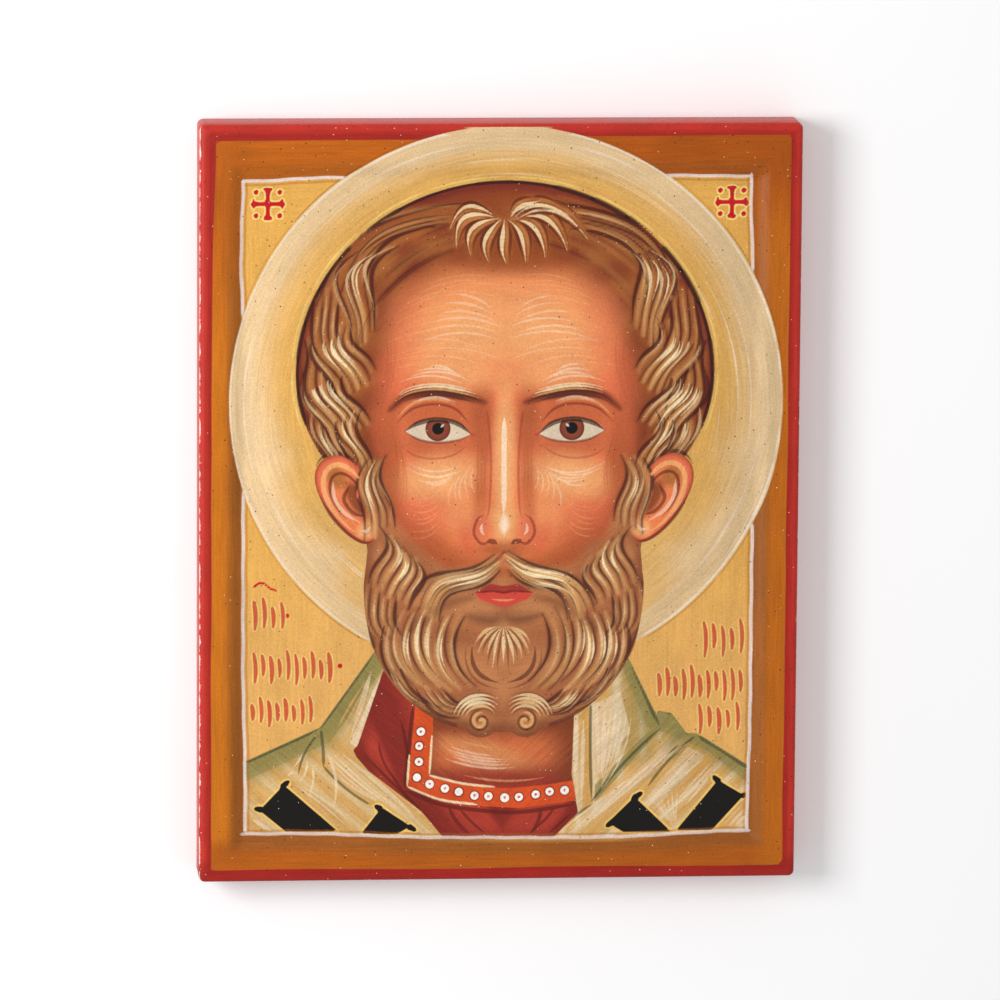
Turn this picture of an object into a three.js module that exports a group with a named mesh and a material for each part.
// A painted icon panel: one limewood board with a chalk ground and a tempera painting on its front.
// The front has a raised border round a shallow recess with a sloping bevel between them.
// The panel lies on its back: +Z is up and is the way the painting faces, +Y is the top of the
// picture and +X is its right. The origin is the middle of the back face. Units are millimetres.

import * as THREE from 'three';

// Board
const boardWidth = 220;
const boardHeight = 280;
const boardThickness = 20;
const cornerRadius = 2.2; // upright corners, seen from the front
const frontEdgeRadius = 1.8; // worn, rounded front edge
const backEdgeRadius = 0.8; // back edge, only just broken

// Recess: the margins run from the board's sides to the foot of the bevel
const marginSide = 17;
const marginTop = 20.5;
const marginBottom = 16.5;
const recessDepth = 1.8;
const bevelWidth = 6;
const recessCornerRadius = 0.8; // at the foot of the bevel
const bevelCornerRadius = 2.5; // at the top of the bevel

// Facets
const cornerSteps = 6;
const frontEdgeSteps = 5;
const backEdgeSteps = 2;
const bevelSteps = 6;

const recessCentreY = (marginBottom - marginTop) / 2;
const paintedRed = 0xb0332a;

// A rounded rectangle as a ring of points, anticlockwise seen from above. Every ring has the same
// number of points, so that two rings can be joined by a band of faces.
function rectangleRing({ halfWidth, halfHeight, radius, centreY, z }) {
  const ring = [];
  const quarterTurn = Math.PI / 2;
  const corners = [[1, 1], [-1, 1], [-1, -1], [1, -1]];
  corners.forEach(([signX, signY], corner) => {
    for (let step = 0; step <= cornerSteps; step += 1) {
      const angle = quarterTurn * (corner + step / cornerSteps);
      ring.push(new THREE.Vector3(
        signX * (halfWidth - radius) + radius * Math.cos(angle),
        centreY + signY * (halfHeight - radius) + radius * Math.sin(angle),
        z,
      ));
    }
  });
  return ring;
}

// The board's outline drawn in by inset, at height z.
function outlineRing(inset, z) {
  return rectangleRing({
    halfWidth: boardWidth / 2 - inset,
    halfHeight: boardHeight / 2 - inset,
    radius: cornerRadius - inset,
    centreY: 0,
    z,
  });
}

// The recess's outline let out by spread from the foot of the bevel, at height z.
function recessRing(spread, z) {
  const share = spread / bevelWidth;
  return rectangleRing({
    halfWidth: boardWidth / 2 - marginSide + spread,
    halfHeight: (boardHeight - marginTop - marginBottom) / 2 + spread,
    radius: THREE.MathUtils.lerp(recessCornerRadius, bevelCornerRadius, share),
    centreY: recessCentreY,
    z,
  });
}

// A quarter round: inset and height run over the arc from the side face to the flat face.
function edgeRings(radius, steps, flatZ, inward) {
  const rings = [];
  for (let step = 0; step <= steps; step += 1) {
    const angle = (Math.PI / 2) * (step / steps);
    const inset = radius * (1 - Math.cos(angle));
    const drop = radius * (1 - Math.sin(angle));
    rings.push(outlineRing(inset, flatZ - inward * drop));
  }
  return rings;
}

// The bevel falls from the border to the recess in a soft S.
function bevelRings() {
  const rings = [];
  for (let step = 0; step <= bevelSteps; step += 1) {
    const share = step / bevelSteps;
    const fall = THREE.MathUtils.smoothstep(share, 0, 1);
    rings.push(recessRing(bevelWidth * (1 - share), boardThickness - recessDepth * fall));
  }
  return rings;
}

// Joins rings in order with bands of faces, and closes the first and the last with a fan each.
function closedShell(rings, firstCentre, lastCentre) {
  const count = rings[0].length;
  const positions = [];
  const indices = [];
  [...rings.flat(), firstCentre, lastCentre].forEach((p) => positions.push(p.x, p.y, p.z));
  const firstIndex = rings.length * count;
  const lastIndex = firstIndex + 1;
  for (let ring = 0; ring + 1 < rings.length; ring += 1) {
    for (let i = 0; i < count; i += 1) {
      const next = (i + 1) % count;
      const lower = ring * count;
      const upper = lower + count;
      indices.push(lower + i, lower + next, upper + next);
      indices.push(lower + i, upper + next, upper + i);
    }
  }
  const lastRing = (rings.length - 1) * count;
  for (let i = 0; i < count; i += 1) {
    const next = (i + 1) % count;
    indices.push(firstIndex, next, i);
    indices.push(lastIndex, lastRing + i, lastRing + next);
  }
  const geometry = new THREE.BufferGeometry();
  geometry.setAttribute('position', new THREE.Float32BufferAttribute(positions, 3));
  geometry.setIndex(indices);
  geometry.computeVertexNormals();
  return geometry;
}

// The whole board, from the middle of its back, round its sides, to the middle of the recess.
function iconBoard() {
  const backEdge = edgeRings(backEdgeRadius, backEdgeSteps, 0, -1).reverse();
  const frontEdge = edgeRings(frontEdgeRadius, frontEdgeSteps, boardThickness, 1);
  const rings = [...backEdge, ...frontEdge, ...bevelRings()];
  const backCentre = new THREE.Vector3(0, 0, 0);
  const recessCentre = new THREE.Vector3(0, recessCentreY, boardThickness - recessDepth);
  const material = new THREE.MeshStandardMaterial({ color: paintedRed, roughness: 0.5, metalness: 0 });
  const mesh = new THREE.Mesh(closedShell(rings, backCentre, recessCentre), material);
  mesh.name = 'icon_board';
  return mesh;
}

const iconPanel = new THREE.Group();
iconPanel.add(iconBoard());

export default iconPanel;
